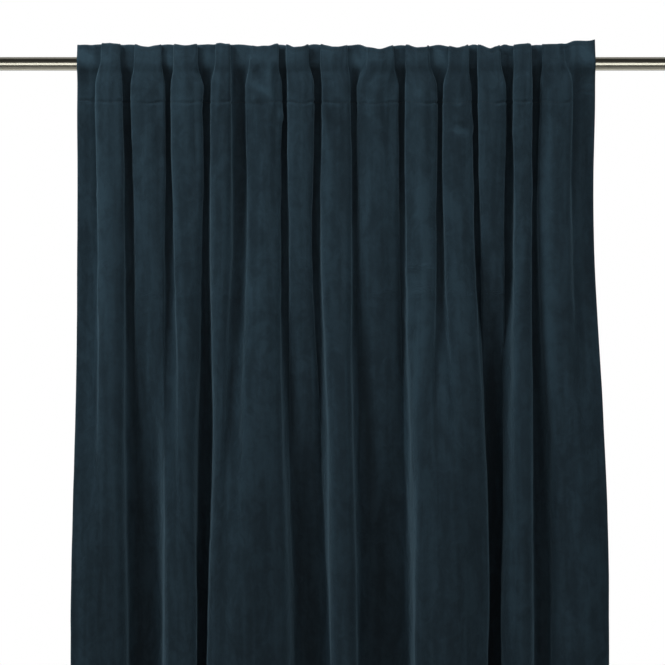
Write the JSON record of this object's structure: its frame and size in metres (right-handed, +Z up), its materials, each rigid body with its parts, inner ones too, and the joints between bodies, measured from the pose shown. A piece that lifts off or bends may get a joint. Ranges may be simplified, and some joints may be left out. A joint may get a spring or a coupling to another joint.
{
  "type": "velvet curtain with back tabs on a rod",
  "caption": "Dark petrol velvet curtain panel hanging in soft uneven folds from hidden back tabs on a round brushed steel rod.",
  "frame": {"origin": "middle of the rod's axis, above the middle of the curtain", "axes": "+Z up, +X along the rod to the right of a person facing the curtain, -Y towards that person"},
  "size_m": [1.2, 0.1067, 2.4055],
  "materials": {
    "velvet": "short-pile velvet with a soft sheen along the edges of its folds",
    "tab_cloth": "flat woven tape in the colour of the velvet",
    "rod_steel": "satin brushed along its length"
  },
  "bodies": {
    "root": {"panel": "velvet", "rod": "rod_steel", "tab_01": "tab_cloth", "tab_02": "tab_cloth", "tab_03": "tab_cloth", "tab_04": "tab_cloth", "tab_05": "tab_cloth", "tab_06": "tab_cloth", "tab_07": "tab_cloth", "tab_08": "tab_cloth", "tab_09": "tab_cloth", "tab_10": "tab_cloth", "tab_11": "tab_cloth", "tab_12": "tab_cloth", "tab_13": "tab_cloth", "tab_14": "tab_cloth"}
  },
  "joints": []
}
